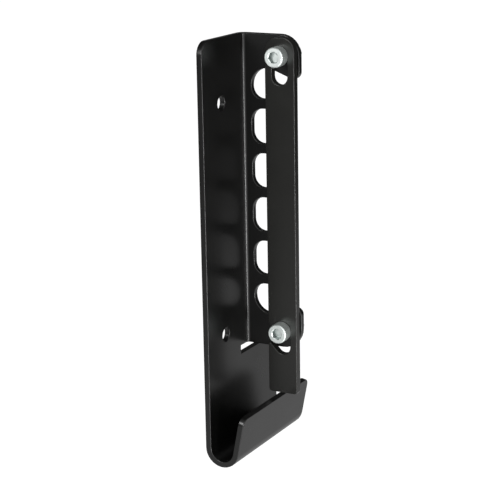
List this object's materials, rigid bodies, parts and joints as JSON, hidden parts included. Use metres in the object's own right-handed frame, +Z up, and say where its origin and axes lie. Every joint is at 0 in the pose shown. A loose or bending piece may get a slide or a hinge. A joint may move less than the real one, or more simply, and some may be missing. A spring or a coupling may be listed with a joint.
{
  "type": "wall rack",
  "caption": "Bent sheet-steel wall bracket with open slots in its side web, a lifting gate bar that closes them, and a J-shaped tray at the bottom.",
  "frame": {"origin": "on the back face of the plate, which bears on the wall, midway between the two wall-screw holes", "axes": "+X along the wall to the right, +Y into the wall, +Z up"},
  "size_m": [0.0712, 0.034, 0.2125],
  "materials": {
    "powder_coat": "satin black powder coat with a fine orange-peel texture",
    "zinc_plate": "bright zinc plate with a faint cool tint",
    "nylon": "matte nylon"
  },
  "bodies": {
    "bracket": {"wall_bracket": "powder_coat", "top_cap_screw": "zinc_plate", "bottom_cap_screw": "zinc_plate", "top_lock_nut": "zinc_plate", "bottom_lock_nut": "zinc_plate", "top_nut_insert": "nylon", "bottom_nut_insert": "nylon"},
    "gate": {"gate_bar": "powder_coat"}
  },
  "joints": [
    {"name": "gate_lift", "type": "slide", "parent": "bracket", "child": "gate", "axis": [0, 0, 1], "range_m": [0, 0.009]}
  ]
}
